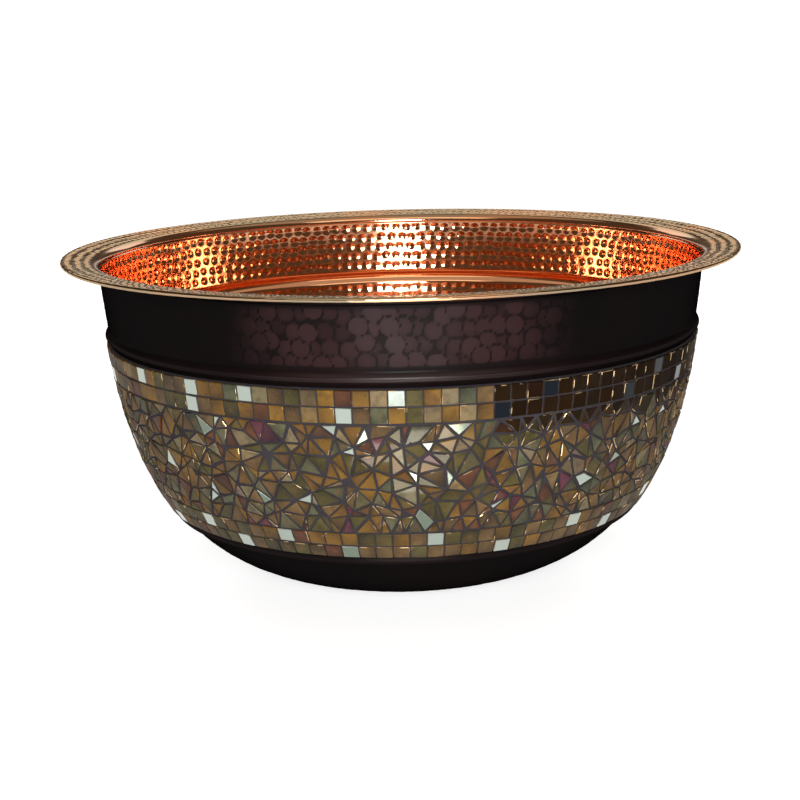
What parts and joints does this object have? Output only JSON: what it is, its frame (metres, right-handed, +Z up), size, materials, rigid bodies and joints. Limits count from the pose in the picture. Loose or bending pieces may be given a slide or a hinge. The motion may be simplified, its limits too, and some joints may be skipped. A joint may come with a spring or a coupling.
{
  "type": "mosaic copper basin",
  "caption": "Round open hammered copper basin with a flat turned-out rim, a swaged bead and a wide band of glass mosaic around the outside, curving in to a small flat foot.",
  "frame": {"origin": "centre of the foot's flat underside", "axes": "+Z up along the basin's axis of turning, -Y towards the viewer of the picture"},
  "size_m": [0.4499, 0.45, 0.216],
  "materials": {
    "hammered_copper": "hammered copper, bright inside, dark brown patina outside",
    "grout": "matt dark grey grout",
    "silver_glass": "mirror glass",
    "amber_glass": "iridescent glass, gold-brown, glossy",
    "tan_glass": "iridescent glass, tan, glossy",
    "olive_glass": "iridescent glass, olive, glossy",
    "sage_glass": "iridescent glass, grey-green, glossy",
    "rust_glass": "iridescent glass, rust orange, glossy",
    "violet_glass": "iridescent glass, violet-red, glossy"
  },
  "bodies": {
    "root": {"copper_bowl": "hammered_copper", "mosaic_bed": "grout", "shards_amber": "amber_glass", "shards_mirror": "silver_glass", "shards_olive": "olive_glass", "shards_rust": "rust_glass", "shards_sage": "sage_glass", "shards_tan": "tan_glass", "shards_violet": "violet_glass", "squares_lower_amber": "amber_glass", "squares_lower_mirror": "silver_glass", "squares_lower_olive": "olive_glass", "squares_lower_rust": "rust_glass", "squares_lower_tan": "tan_glass", "squares_upper_amber": "amber_glass", "squares_upper_mirror": "silver_glass", "squares_upper_olive": "olive_glass", "squares_upper_rust": "rust_glass", "squares_upper_sage": "sage_glass", "squares_upper_tan": "tan_glass"}
  },
  "joints": []
}
